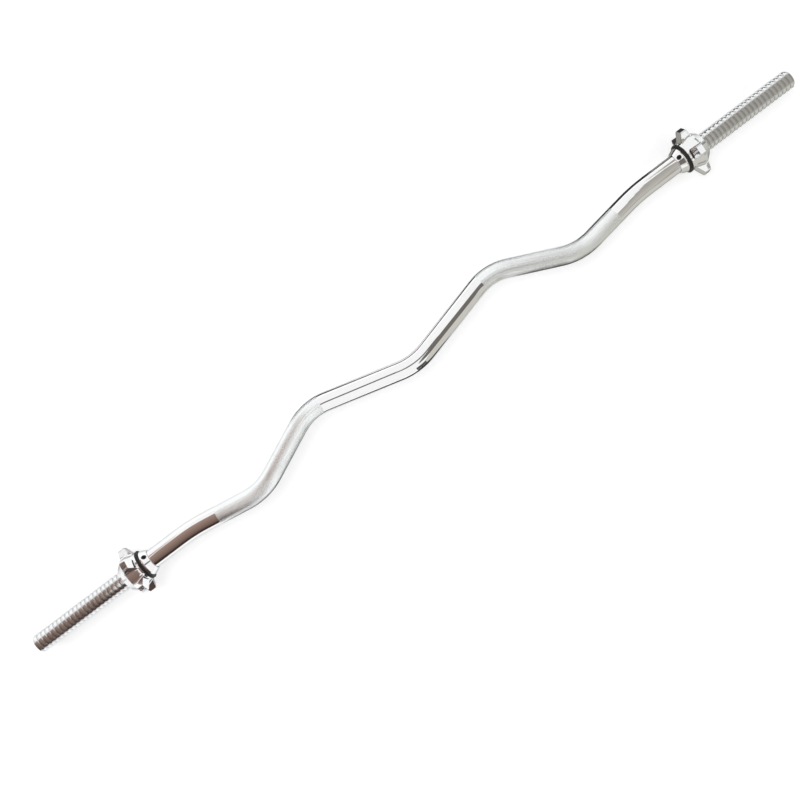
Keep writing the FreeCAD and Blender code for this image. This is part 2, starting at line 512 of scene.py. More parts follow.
class GrooveMask(Effect):
    """How deep a point of the thread lies, which sets its painted shade: nought at the root and one at the
    crest.
    """

    name = "groove_mask"
    inputs = {"Vector": VECTOR, "Axis": VECTOR, "Root": FLOAT, "Crest": FLOAT}
    outputs = ("Mask",)
    square_to_x = (0, 1, 1)

    def wire(self, tree: Tree, entry: Node) -> dict[str, Socket]:
        """Measure the distance from the sleeve's axis and spread it between root and crest.

        Args:
            tree: The group's own tree.
            entry: The node that gives its inputs.

        Returns:
            What each output carries.
        """
        given = entry.outputs
        kind = "ShaderNodeVectorMath"
        offset = put(tree, kind, {0: given["Vector"], 1: given["Axis"]}, operation="SUBTRACT")
        across = put(tree, kind, {0: offset.outputs[0], 1: self.square_to_x}, operation="MULTIPLY")
        radius = put(tree, kind, {0: across.outputs[0]}, operation="LENGTH")
        return {"Mask": spread(tree, radius.outputs["Value"], given["Root"], given["Crest"])}


class Marks(Enum):
    """What the surface under a chrome plate carries."""

    POLISHED = "polished"
    KNURLED = "knurled"
    THREADED = "threaded"
    CAST = "cast"
    TURNED = "turned"


@dataclass(frozen=True, kw_only=True)
class Finish:
    """A finish that varies over the surface in colour, in roughness from clear to dull and in relief."""

    slot: str
    colour: Colour
    clear: float
    dull: float
    haze_scale: float
    wave_scale: float
    wave_grain: float
    wave_height: float

    def material(self, thread: ThreadForm) -> Material:
        """Build the finish.

        Args:
            thread: The thread on the rod's ends.

        Returns:
            The new material.
        """
        made = bpy.data.materials.new(self.slot)
        made.use_nodes = True
        tree = made.node_tree
        shader = tree.nodes["Principled BSDF"]
        self.set_gloss(shader)
        place = put(tree, "ShaderNodeTexCoord").outputs["Object"]
        haze = PlateHaze().place(tree, {
            "Vector": place, "Scale": self.haze_scale, "Clear": self.clear, "Dull": self.dull,
        })
        tree.links.new(haze.outputs["Roughness"], shader.inputs["Roughness"])
        tree.links.new(self.tone(tree, place, haze.outputs["Cloud"], thread), shader.inputs["Base Color"])
        bump = put(tree, "ShaderNodeBump", {"Height": self.relief(tree, place), "Distance": self.wave_height})
        tree.links.new(bump.outputs["Normal"], shader.inputs["Normal"])
        return made

    def set_gloss(self, shader: Node) -> None:
        """Set what is the same all over the surface."""
        raise NotImplementedError

    def tone(self, tree: Tree, place: Socket, cloud: Socket, thread: ThreadForm) -> Socket:
        """Wire the colour from the Object coordinates and the haze."""
        raise NotImplementedError

    def relief(self, tree: Tree, place: Socket) -> Socket:
        """Wire the fine relief that is too small for the mesh."""
        feeds = {"Vector": place, "Scale": self.wave_scale, "Fine": self.wave_grain}
        return SurfaceWave().place(tree, feeds).outputs["Height"]


@dataclass(frozen=True, kw_only=True)
class Chrome(Finish):
    """A chrome-plated finish.

    The colour is what the plate mirrors, and edge tints its rim at grazing sight. It darkens towards a dark
    grey as grime where the haze is stained, and with painted shade where the surface lies low, in the
    thread's grooves and between the knurl's pyramids. Stained says how clean the haze is, and the two
    fields after it say how dark the painted shade is at the bottom and from what height up there is none.
    """

    marks: Marks
    edge: Colour = (0.42, 0.43, 0.45)
    # Dark grey for the haze's grime and for the painted shade in the low places.
    grime_and_shade: Colour = (0.30, 0.31, 0.32)
    stained: float = 0.93
    hollow_shade: float = 1.0
    unshaded_from: float = 0.7
    line_pitch: float = 0.12 * MM

    def set_gloss(self, shader: Node) -> None:
        """Make it metal with a tinted rim."""
        shader.inputs["Metallic"].default_value = 1.0
        shader.inputs["Specular Tint"].default_value = opaque(self.edge)

    def tone(self, tree: Tree, place: Socket, cloud: Socket, thread: ThreadForm) -> Socket:
        """Wire the plate's colour: bright plate, darkened by grime where the haze is stained and by painted
        shade where the surface lies low.

        Args:
            tree: The material's node tree.
            place: The Object coordinates.
            cloud: The haze, from nought to one.
            thread: The thread on the rod's ends.

        Returns:
            The output that carries the colour.
        """
        clean_and_lit = spread(tree, cloud, low=1.0, high=self.stained)
        # Painted shade: the deeper a point of the thread or the knurl lies, the darker its colour.
        height = None
        if self.marks is Marks.THREADED:
            feeds = {"Vector": place, "Axis": thread.axis, "Root": thread.root, "Crest": thread.crest}
            height = GrooveMask().place(tree, feeds).outputs["Mask"]
        elif self.marks is Marks.KNURLED:
            height = put(tree, "ShaderNodeAttribute", attribute_name=CREST).outputs["Fac"]
        if height is not None:
            clean_and_lit = maths(tree, "MULTIPLY", spread(tree, height, end=self.unshaded_from, low=self.hollow_shade), clean_and_lit)
        return mixed(tree, clean_and_lit, self.grime_and_shade, self.colour)

    def relief(self, tree: Tree, place: Socket) -> Socket:
        """Wire the fine relief, with the lathe's lines on a turned piece.

        Args:
            tree: The material's node tree.
            place: The Object coordinates.

        Returns:
            The output that carries the height.
        """
        wave = super().relief(tree, place)
        if self.marks is not Marks.TURNED:
            return wave
        lines = ToolLines().place(tree, {"Vector": place, "Pitch": self.line_pitch})
        return maths(tree, "ADD", wave, lines.outputs["Height"])


@dataclass(frozen=True, kw_only=True)
class DullBlack(Finish):
    """A black finish, moulded rubber or blackened steel, with a bloom of paler dust."""

    bloom: Colour
    metallic: float
    gloss: float = 0.5

    def set_gloss(self, shader: Node) -> None:
        """Set how metallic and how glossy it is."""
        shader.inputs["Metallic"].default_value = self.metallic
        shader.inputs["Specular IOR Level"].default_value = self.gloss

    def tone(self, tree: Tree, place: Socket, cloud: Socket, thread: ThreadForm) -> Socket:
        """Wire the dust into the black by the haze."""
        return mixed(tree, cloud, self.colour, self.bloom)


POLISHED = Chrome(
    slot="polished_chrome", marks=Marks.POLISHED, colour=(0.93, 0.93, 0.93), clear=0.02, dull=0.07,
    haze_scale=18, wave_scale=60, wave_grain=0.02, wave_height=0.02 * MM,
)
# The knurl and the thread carry painted shade in their hollows.
KNURLED = Chrome(
    slot="knurled_chrome", marks=Marks.KNURLED, colour=(0.95, 0.97, 0.97), clear=0.16, dull=0.30,
    haze_scale=40, wave_scale=900, wave_grain=0.3, wave_height=0.02 * MM, hollow_shade=0.92,
)
THREADED = Chrome(
    slot="threaded_chrome", marks=Marks.THREADED, colour=(0.90, 0.91, 0.91), clear=0.08, dull=0.22,
    haze_scale=60, wave_scale=300, wave_grain=0.2, wave_height=0.02 * MM, hollow_shade=0.7,
)
CAST = Chrome(
    slot="cast_chrome", marks=Marks.CAST, colour=(0.91, 0.915, 0.92), clear=0.03, dull=0.10,
    haze_scale=60, wave_scale=130, wave_grain=0.03, wave_height=0.06 * MM,
)
TURNED = Chrome(
    slot="turned_chrome", marks=Marks.TURNED, colour=(0.92, 0.92, 0.92), clear=0.05, dull=0.13,
    haze_scale=60, wave_scale=200, wave_grain=0.03, wave_height=0.006 * MM,
)
RUBBER = DullBlack(
    slot="black_rubber", colour=(0.010, 0.009, 0.009), bloom=(0.024, 0.022, 0.021), metallic=0.0, gloss=0.25,
    clear=0.45, dull=0.65, haze_scale=90, wave_scale=900, wave_grain=0.5, wave_height=0.05 * MM,
)
BLACK_STEEL = DullBlack(
    slot="black_steel", colour=(0.03, 0.03, 0.033), bloom=(0.07, 0.065, 0.06), metallic=0.8,
    clear=0.30, dull=0.50, haze_scale=200, wave_scale=1500, wave_grain=0.4, wave_height=0.02 * MM,
)
FINISHES = (POLISHED, KNURLED, THREADED, CAST, TURNED, RUBBER, BLACK_STEEL)


def dress(piece: Piece, node: str, body: str, finish: Material) -> None:
    """Give a piece its finish, named for its slot, hide its CAD node, hang it on its body, and report it.

    Args:
        piece: The finished mesh in its place.
        node: The CAD node that it stands for.
        body: The CAD body that it rides on.
        finish: Its material, named for its slot.
    """
    piece.data.materials.clear()
    piece.data.materials.append(finish)
    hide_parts(node)
    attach(piece, body)
    log.info("%s rides on %s with %d faces", piece.name, body, len(piece.data.polygons))


# The bar and its pieces

@dataclass(frozen=True)
class Bend:
    """One bend of the rod: where its corner lies in the level plane, and its radius."""

    station: float
    offset: float
    radius: float


@dataclass
class BentPath:
    """The line that the rod's axis follows between its threaded ends, measured from its left end."""

    centre: Vector
    reach: float
    middle: Bend = Bend(0, -4.5 * MM, 85 * MM)
    outer: tuple[Bend, ...] = (
        Bend(144 * MM, 33.5 * MM, 70 * MM),
        Bend(254 * MM, -16.3 * MM, 80 * MM),
        Bend(354 * MM, 0, 235 * MM),
    )
    resolution: int = 64
    length: float = field(init=False, default=0.0)
    curve: Piece | None = field(init=False, default=None)

    def bends(self) -> list[Bend]:
        """All bends from left to right."""
        left = [Bend(-bend.station, bend.offset, bend.radius) for bend in reversed(self.outer)]
        return [*left, self.middle, *self.outer]

    def draw(self) -> None:
        """Draw the path as a curve of straight runs and arcs that the rod's stretches are bent along."""
        start, end = Vector((-self.reach, 0, 0)), Vector((self.reach, 0, 0))
        bends = self.bends()
        corners = [start, *(Vector((bend.station, bend.offset, 0)) for bend in bends), end]
        headings = [(after - before).normalized() for before, after in zip(corners, corners[1:])]
        knots = [(start, headings[0], 0.0)]
        for bend, corner, into, out in zip(bends, corners[1:], headings, headings[1:]):
            turn = into.angle(out)
            tangent = bend.radius * math.tan(turn / 2)
            pull = 4 / 3 * math.tan(turn / 4) * bend.radius
            self.length += (corner - into * tangent - knots[-1][0]).length + bend.radius * turn
            knots.append((corner - into * tangent, into, pull))
            knots.append((corner + out * tangent, out, pull))
        self.length += (end - knots[-1][0]).length
        knots.append((end, headings[-1], 0.0))
        self.curve = self.bezier(knots)

    def bezier(self, knots: list[tuple[Vector, Vector, float]]) -> Piece:
        """Lay a Bezier curve through the ends of the arcs.

        Args:
            knots: Each arc's ends and the path's: place, heading, and how far the arc's handle pulls.

        Returns:
            The curve object, on the sleeves' axis.
        """
        data = bpy.data.curves.new("rod_path", "CURVE")
        data.dimensions = "3D"
        data.twist_mode = "Z_UP"
        data.resolution_u = self.resolution
        data.use_deform_bounds = False
        spline = data.splines.new("BEZIER")
        spline.bezier_points.add(len(knots) - 1)
        for number, (place, heading, pull) in enumerate(knots):
            opens_arc = number % 2 == 1
            other = knots[number - 1] if opens_arc else knots[min(number + 1, len(knots) - 1)]
            run = (other[0] - place).length / 3
            point = spline.bezier_points[number]
            point.handle_left_type = "FREE"
            point.handle_right_type = "FREE"
            point.co = place
            point.handle_left = place - heading * (run if opens_arc else pull)
            point.handle_right = place + heading * (pull if opens_arc else run)
        path = bpy.data.objects.new("rod_path", data)
        bpy.context.scene.collection.objects.link(path)
        return path

    def bend(self, blank: Piece, start: float) -> None:
        """Bend a straight blank along the path and put it in its place.

        Args:
            blank: A piece along X from the origin.
            start: How far along the path its near end lies.
        """
        settle(blank, Vector((start, 0, 0)))
        apply_modifier(blank, "CURVE", object=self.curve, deform_axis="POS_X")
        settle(blank, self.centre)
        clean_up(blank)

    def clear(self) -> None:
        """Throw the curve away once every stretch is bent."""
        bpy.data.curves.remove(self.curve.data)


@dataclass
class ThreadForm:
    """The coarse thread that is cut on each end of the rod, round a line along X through the point axis."""

    axis: Vector
    crest: float
    origin: float = 413.8 * MM
    pitch: float = 6.35 * MM
    depth: float = 1.5 * MM
    root_width: float = 1.6 * MM
    flank: float = math.radians(30)
    steps: int = 72

    @property
    def root(self) -> float:
        """The radius at the bottom of the groove."""
        return self.crest - self.depth

    def core(self, name: str, start: float, end: float, play: float) -> Piece:
        """Wind the thread's outline into a closed threaded core along X.

        Args:
            name: The new object's name.
            start: Where the core begins along X.
            end: Where it ends.
            play: How much larger it is than the rod's own thread.

        Returns:
            The core, round the X axis.
        """
        flank_run = self.depth * math.tan(self.flank)
        crest_width = self.pitch - self.root_width - 2 * flank_run
        crest, root = self.crest + play, self.root + play
        half_crest = crest_width / 2 + play * math.tan(self.flank / 2)
        root_start = half_crest + flank_run
        first = self.origin + self.pitch * math.floor((start - self.origin) / self.pitch - 1)
        turns = math.ceil((end - first) / self.pitch) + 2
        chain = outline(name, [
            (first, -crest),
            (first + half_crest, -crest),
            (first + root_start, -root),
            (first + self.pitch - root_start, -root),
            (first + self.pitch - half_crest, -crest),
            (first + self.pitch, -crest),
        ], closed=False)
        apply_modifier(
            chain, "SCREW", axis="X", angle=math.tau, screw_offset=self.pitch, iterations=turns,
            steps=self.steps, render_steps=self.steps,
        )
        clean_up(chain)
        with editing(chain):
            for plane, outward in ((start, -1), (end, 1)):
                bpy.ops.mesh.select_all(action="SELECT")
                bpy.ops.mesh.bisect(
                    plane_co=(plane, 0, 0), plane_no=(outward, 0, 0), use_fill=True, clear_outer=True
                )
        clean_up(chain)
        return chain


@dataclass
class CurlBar:
    """The rod: a polished middle, two knurled grips, two polished shoulders and two threaded ends."""

    path: BentPath
    thread: ThreadForm
    radius: float
    tip: float
    thread_start: float
    middle_length: float = 263 * MM
    grip_length: float = 199.5 * MM
    tip_chamfer: float = 2 * MM
    round_points: int = 96
    row_length: float = 2 * MM
    knurl_points: int = 112
    knurl_row: float = 0.9 * MM
    knurl_depth: float = 0.08 * MM

    def build(self, finishes: dict[str, Material]) -> dict[Side, Piece]:
        """Model every stretch of the rod and dress it.

        Args:
            finishes: The materials by slot.

        Returns:
            The two shoulders, which the set screws are seated in.
        """
        shoulders = {}
        self.path.draw()
        half = self.path.length / 2
        polished = finishes[POLISHED.slot]
        shoulder_length = half - self.middle_length / 2 - self.grip_length
        middle = self.plain_blank("middle_rod", self.middle_length)
        self.path.bend(middle, half - self.middle_length / 2)
        smooth(middle)
        dress(middle, "polished_middle", "bar", polished)
        knurl = self.knurled_blank("grip", self.grip_length)
        plain = self.plain_blank("shoulder", shoulder_length)
        starts = {
            Side.RIGHT: (half + self.middle_length / 2, 2 * half - shoulder_length),
            Side.LEFT: (shoulder_length, 0.0),
        }
        for side, (grip_start, shoulder_start) in starts.items():
            grip = copied(knurl, f"grip_{side.value}")
            self.path.bend(grip, grip_start)
            dress(grip, f"knurled_grip_{side.value}", "bar", finishes[KNURLED.slot])
            shoulder = copied(plain, f"shoulder_{side.value}")
            self.path.bend(shoulder, shoulder_start)
            smooth(shoulder)
            dress(shoulder, f"polished_shoulder_{side.value}", "bar", polished)
            shoulders[side] = shoulder
        discard(knurl, plain)
        self.path.clear()
        self.threaded_ends(finishes[THREADED.slot])
        return shoulders

    def repeat(self, band: Piece, step: float, count: int) -> None:
        """Repeat a band along X and close both ends of the tube that it makes.

        Args:
            band: One ring of faces.
            step: The band's length.
            count: How many bands there are.
        """
        apply_modifier(
            band, "ARRAY", count=count, use_relative_offset=False, use_constant_offset=True,
            constant_offset_displace=(step, 0, 0), use_merge_vertices=True, merge_threshold=SAME,
        )
        with editing(band):
            bpy.ops.mesh.select_mode(type="EDGE")
            bpy.ops.mesh.select_all(action="DESELECT")
            bpy.ops.mesh.select_non_manifold()
            bpy.ops.mesh.fill_holes(sides=0)

    def plain_blank(self, name: str, length: float) -> Piece:
        """Draw a plain round blank from the origin, in rows short enough to bend smoothly.

        Args:
            name: The new object's name.
            length: The blank's length.

        Returns:
            The blank along X.
        """
        rows = math.ceil(length / self.row_length)
        blank = ring_of_points(name, self.round_points, self.radius)
        with editing(blank):
            bpy.ops.mesh.extrude_region_move(TRANSFORM_OT_translate={"value": (length / rows, 0, 0)})
        self.repeat(blank, length / rows, rows)
        return blank

    def knurled_blank(self, name: str, length: float) -> Piece:
        """Draw a blank whose surface is cut into rows of small pyramids.

        Args:
            name: The new object's name.
            length: The blank's length.

        Returns:
            The blank along X, with an attribute that is one on the pyramids' tips.
        """
        pairs = round(length / self.knurl_row / 2)
        row = length / pairs / 2
        spacing = math.tau / self.knurl_points
        blank = ring_of_points(name, self.knurl_points, self.radius)

        def lies_low(place: Vector) -> bool:
            """Whether a vertex lies low, between the pyramids' tips."""
            around = round(math.atan2(place.y, place.z) / spacing)
            return (around + round(place.x / row)) % 2 == 0

        with editing(blank):
            for _ in range(2):
                bpy.ops.mesh.extrude_region_move(TRANSFORM_OT_translate={"value": (row, 0, 0)})
            pick(blank, Element.VERTEX, lies_low)
            shrink = 1 - self.knurl_depth / self.radius
            bpy.ops.transform.resize(value=(1, shrink, shrink), center_override=(0, 0, 0))
            bpy.ops.mesh.select_all(action="SELECT")
            bpy.ops.mesh.quads_convert_to_tris(quad_method="SHORTEST_DIAGONAL")
        crest = blank.data.attributes.new(CREST, "FLOAT", "POINT")
        for vertex in blank.data.vertices:
            crest.data[vertex.index].value = 0.0 if lies_low(vertex.co) else 1.0
        self.repeat(blank, 2 * row, pairs)
        return blank

    def threaded_ends(self, finish: Material) -> None:
        """Model one threaded end with its chamfered tip, copy it to both sides and dress the copies.

        Args:
            finish: The thread's material.
        """
        pattern = self.thread.core("thread", self.thread_start, self.tip, play=0.0)
        limit = lathe("tip_limit", [
            (self.thread_start - self.tip_chamfer, 0),
            (self.thread_start - self.tip_chamfer, self.radius + self.tip_chamfer),
            (self.tip - self.tip_chamfer, self.radius + self.tip_chamfer),
            (self.tip - self.tip_chamfer, self.radius),
            (self.tip, self.radius - self.tip_chamfer),
            (self.tip, 0),
        ], self.round_points)
        carve(pattern, limit, "INTERSECT")
        clean_up(pattern)
        for side in Side:
            end = copied(pattern, f"thread_{side.value}")
            settle(end, self.path.centre, heading=side.heading)
            smooth(end)
            dress(end, f"threaded_end_{side.value}", "bar", finish)
        discard(pattern)


@dataclass
class StopCollar:
    """The tapered collar that the plates stop against, and the set screw that holds it."""

    centre: Vector
    nose: float
    face: float
    rod_radius: float
    wall: float = 5.25 * MM
    nose_wall: float = 1.5 * MM
    land: float = 2.3 * MM
    clearance: float = 0.05 * MM
    edge: float = 0.35 * MM
    steps: int = 128
    screw_setback: float = 6.2 * MM
    screw_radius: float = 3 * MM
    screw_length: float = 4 * MM
    screw_seat: float = 2 * MM
    screw_edge: float = 0.3 * MM
    screw_sides: int = 48
    socket_across: float = 3 * MM
    socket_depth: float = 2 * MM
    socket_sides: int = 6
    screw_turns: dict[Side, float] = field(default_factory=lambda: {Side.RIGHT: -23.0, Side.LEFT: -41.0})

    def build(self, finishes: dict[str, Material], shoulders: dict[Side, Piece]) -> None:
        """Model the collar and its screw once and dress a copy of each on both sides.

        Args:
            finishes: The materials by slot.
            shoulders: The stretches of the rod that the screws are seated in.
        """
        collar = self.collar()
        screw = self.screw()
        for side in Side:
            turn = math.radians(self.screw_turns[side]) * side.sign
            seat = self.drill(self.rod_radius - self.screw_seat)
            settle(seat, self.centre, turn, side.heading)
            carve(shoulders[side], seat)
            clean_up(shoulders[side])
            for pattern, node, slot in (
                (collar, "stop_collar", TURNED.slot),
                (screw, "grub_screw", BLACK_STEEL.slot),
            ):
                piece = copied(pattern, f"{pattern.name}_{side.value}")
                settle(piece, self.centre, turn, side.heading)
                smooth(piece)
                flatten_faces(piece)
                dress(piece, f"{node}_{side.value}", "bar", finishes[slot])
        discard(collar, screw)

    def collar(self) -> Piece:
        """Turn the collar, break its edges and drill the screw's hole straight up.

        Returns:
            The collar round the X axis.
        """
        bore = self.rod_radius + self.clearance
        outer = self.rod_radius + self.wall
        piece = lathe("taper_collar", [
            (self.nose, bore),
            (self.nose, self.rod_radius + self.nose_wall),
            (self.face - self.land, outer),
            (self.face, outer),
            (self.face, bore),
        ], self.steps)
        round_edges(piece, self.edge, segments=3, sharper_than=20)
        carve(piece, self.drill(self.rod_radius / 2))
        clean_up(piece)
        return piece

    def drill(self, bottom: float) -> Piece:
        """The tool for the screw's hole, from this height above the X axis up past the collar."""
        radius = self.screw_radius + self.clearance
        return self.upright_prism("drill", self.screw_sides, radius, bottom, 2 * self.rod_radius)

    def upright_prism(self, name: str, sides: int, radius: float, bottom: float, top: float) -> Piece:
        """Extrude a disc into an upright prism at the screw's station.

        Args:
            name: The new object's name.
            sides: How many sides it has.
            radius: Its radius out to its corners.
            bottom: Its lower end above the X axis.
            top: Its upper end.

        Returns:
            The closed prism.
        """
        clear_selection()
        foot = (self.face - self.screw_setback, 0, bottom)
        bpy.ops.mesh.primitive_circle_add(vertices=sides, radius=radius, fill_type="NGON", location=foot)
        prism = newly_added(name)
        with editing(prism):
            bpy.ops.mesh.extrude_region_move(TRANSFORM_OT_translate={"value": (0, 0, top - bottom)})
        clean_up(prism)
        return prism

    def screw(self) -> Piece:
        """Model the set screw with a hexagon socket in its outer end.

        Returns:
            The screw, pointing straight up from the X axis.
        """
        bottom = self.rod_radius - self.screw_seat
        top = bottom + self.screw_length
        piece = self.upright_prism("set_screw", self.screw_sides, self.screw_radius, bottom, top)
        round_edges(piece, self.screw_edge, segments=2, sharper_than=60)
        corner = self.socket_across / 2 / math.cos(math.pi / self.socket_sides)
        low, high = top - self.socket_depth, top + self.socket_depth
        carve(piece, self.upright_prism("key", self.socket_sides, corner, low, high))
        clean_up(piece)
        return piece


@dataclass
class StarNut:
    """The five-lobed nut that locks the plates on, and the rubber ring on its inner face."""

    centre: Vector
    thread: ThreadForm
    ring_start: float
    face: float
    spigot_start: float
    end: float
    ring_radius: float
    spigot_wall: float = 2.6 * MM
    hub_length: float = 2.5 * MM
    hub_wall: float = 7.1 * MM
    valley_rise: float = 10.4 * MM
    valley_wall: float = 10.6 * MM
    lobes: int = 5
    lobe_width: float = 13.3 * MM
    lobe_reach: float = 10 * MM
    lobe_thickness: float = 7.7 * MM
    shoulder_length: float = 3.9 * MM
    nose_length: float = 8.3 * MM
    nose_wall: float = 4.1 * MM
    thread_play: float = 0.4 * MM
    faces_per_lobe: int = 5
    faces_per_sector: int = 9
    tip_round: float = 1.6 * MM
    root_round: float = 2.3 * MM
    edge_round: float = 0.6 * MM
    round_faces: int = 4
    ring_width: float = 4.7 * MM
    ring_edge: float = 0.8 * MM
    ring_steps: int = 128
    turns: dict[Side, float] = field(default_factory=lambda: {Side.RIGHT: 0.0, Side.LEFT: 36.0})
    spigot: float = field(init=False)
    hub: float = field(init=False)
    valley: float = field(init=False)
    nose: float = field(init=False)
    hub_end: float = field(init=False)
    valley_start: float = field(init=False)
    shoulder_end: float = field(init=False)

    def __post_init__(self) -> None:
        """Work out the radii and the places along X that the star's rows share."""
        bore = self.thread.crest + self.thread_play
        self.spigot = bore + self.spigot_wall
        self.hub = bore + self.hub_wall
        self.valley = bore + self.valley_wall
        self.nose = bore + self.nose_wall
        self.hub_end = self.face + self.hub_length
        self.valley_start = self.hub_end + self.valley_rise
        self.shoulder_end = self.end - self.nose_length

    def build(self, finishes: dict[str, Material]) -> None:
        """Model the nut and its ring once and dress a copy of each on both sides.

        Args:
            finishes: The materials by slot.
        """
        star = self.star()
        ring = self.ring()
        for side in Side:
            nut = copied(star, f"star_knob_{side.value}")
            settle(nut, Vector(), math.radians(self.turns[side]) * side.sign)
            tap = self.thread.core("tap", self.spigot_start - MM, self.end + MM, play=self.thread_play)
            carve(nut, tap)
            clean_up(nut)
            cushion = copied(ring, f"cushion_ring_{side.value}")
            for piece, node, body, slot in (
                (nut, "star_nut", "nut", CAST.slot),
                (cushion, "rubber_ring", "ring", RUBBER.slot),
            ):
                settle(piece, self.centre, heading=side.heading)
                smooth(piece, angle=35)
                flatten_faces(piece)
                dress(piece, f"{node}_{side.value}", f"{body}_{side.value}", finishes[slot])
        discard(star, ring)

    def ring(self) -> Piece:
        """Turn the rubber ring and round its edges.

        Returns:
            The ring round the X axis.
        """
        bore = self.ring_radius - self.ring_width
        piece = lathe("ring", [
            (self.ring_start, bore),
            (self.ring_start, self.ring_radius),
            (self.face, self.ring_radius),
            (self.face, bore),
        ], self.ring_steps)
        round_edges(piece, self.ring_edge, segments=4, sharper_than=30)
        return piece

    def star(self) -> Piece:
        """Model one lobe's sector, repeat it round the axis and round its edges.

        Returns:
            The nut's body round the X axis, with a lobe straight up and no thread yet.
        """
        piece = self.sector()
        self.raise_lobe(piece)
        others = self.lobes - 1
        spin(piece, others, math.tau * others / self.lobes, repeat=True)
        round_edges(piece, self.edge_round, segments=3, sharper_than=28)
        return piece

    def sector(self) -> Piece:
        """Spin the nut's outline through one lobe's share of a turn, centred on straight up.

        Returns:
            The open sector, from the axis outwards.
        """
        share = math.tau / self.lobes
        piece = outline("star", [
            (self.spigot_start, 0),
            (self.spigot_start, self.spigot),
            (self.face, self.spigot),
            (self.face, self.hub),
            (self.hub_end, self.hub),
            (self.valley_start, self.valley),
            (self.shoulder_end, self.valley),
            (self.end, self.nose),
            (self.end, 0),
        ], closed=False)
        settle(piece, Vector(), share / 2)
        spin(piece, self.faces_per_sector, share)
        return piece

    def raise_lobe(self, piece: Piece) -> None:
        """Draw the lobe out of the sector's valley floor and round its tip and its root.

        Args:
            piece: The sector, which is changed.
        """
        half_width = self.lobe_width / 2
        tip = self.valley + self.lobe_reach
        tip_end = self.shoulder_end - self.shoulder_length
        tip_start = tip_end - self.lobe_thickness

        def on_floor(centre: Vector) -> bool:
            """Whether a face lies on the valley's floor within the lobe's foot."""
            return self.hub_end < centre.x < self.shoulder_end and abs(centre.y) < half_width

        def on_flank(place: Vector) -> bool:
            """Whether a vertex lies on one of the lobe's flanks."""
            within = self.hub_end - SLACK < place.x < self.shoulder_end + SLACK
            return within and abs(abs(place.y) - half_width) < SLACK

        def along_tip(first: Vector, second: Vector) -> bool:
            """Whether an edge runs round the lobe's tip."""
            return all(on_flank(end) and end.z > tip - SLACK for end in (first, second))

        def along_root(first: Vector, second: Vector) -> bool:
            """Whether an edge runs along the lobe's root."""
            at_root = all(on_flank(end) and end.z < self.valley for end in (first, second))
            return at_root and abs(first.x - second.x) > SLACK

        with editing(piece):
            self.set_width(piece, self.hub_end, self.hub)
            for station in (self.valley_start, self.shoulder_end):
                self.set_width(piece, station, self.valley)
            pick(piece, Element.FACE, on_floor)
            bpy.ops.mesh.extrude_region_move(TRANSFORM_OT_translate={"value": (0, 0, self.lobe_reach)})
            bpy.ops.transform.resize(value=(1, 1, 0), center_override=(0, 0, tip))
            for row, target in ((self.hub_end, tip_start), (self.shoulder_end, tip_end)):
                pick(piece, Element.VERTEX, lambda spot: spot.z > tip - SLACK and abs(spot.x - row) < SLACK)
                bpy.ops.transform.translate(value=(target - row, 0, 0))
            for wanted, reach in ((along_tip, self.tip_round), (along_root, self.root_round)):
                pick(piece, Element.EDGE, wanted)
                bpy.ops.mesh.bevel(offset=reach, segments=self.round_faces, affect="EDGES")

    def set_width(self, piece: Piece, station: float, radius: float) -> None:
        """Move the two corners of the lobe's foot in one row along that row to the lobe's width.

        Args:
            piece: The sector in edit mode.
            station: The row's place along X.
            radius: The row's radius.
        """
        now = math.pi / self.lobes * self.faces_per_lobe / self.faces_per_sector
        wanted = math.asin(self.lobe_width / 2 / radius)
        sideways, upward = radius * math.sin(now), radius * math.cos(now)

        def at_corner(place: Vector) -> bool:
            """Whether a vertex is a corner of the lobe's foot in this row."""
            return abs(place.x - station) < SLACK and abs(abs(place.y) - sideways) < SLACK

        pick(piece, Element.VERTEX, at_corner)
        bpy.ops.transform.resize(
            value=(1, radius * math.sin(wanted) / sideways, radius * math.cos(wanted) / upward),
            center_override=(0, 0, 0),
        )


# Studio

FLOOR = 0.001
RIG = 0.5
WHITE = (1.0, 1.0, 1.0)
BLACK_CARD = (0.05, 0.05, 0.05)
GREY_CARD = (0.15, 0.14, 0.13)
WARM_DARK = (0.17, 0.155, 0.14)
WARM_GREY = (0.38, 0.36, 0.33)
WARM_PALE = (0.62, 0.61, 0.56)
BROWN = (0.05, 0.032, 0.027)
PINK = (0.42, 0.29, 0.24)


@dataclass(frozen=True)
class Card:
    """A board that only the metal sees, as a photographer sets one round a shiny thing.

    It reaches from one corner to the other, in metres, and lies level where both have the same height.
    Its brightness goes from low to high along Y where it lies level, and up Z where it stands. Without a
    high it is even.
    """

    name: str
    start: Place
    end: Place
    low: Colour
    high: Colour | None = None
    thickness: float = MM

    @property
    def grading_axis(self) -> int:
        """The axis that its brightness changes along."""
        return 1 if self.start[2] == self.end[2] else 2


def level(height: float, low: Colour, high: Colour | None = None, **areas: Area) -> list[Card]:
    """Level cards of one height and colour, each by its name, from one corner's X and Y to the other's."""
    spans = [(name, (*area[:2], height), (*area[2:], height)) for name, area in areas.items()]
    return [Card(*span, low, high) for span in spans]


@dataclass(frozen=True)
class Lamp:
    """A soft lamp aimed at the bar, with its place and its size in metres and its power in watts."""

    name: str
    place: Place
    power: float
    size: float


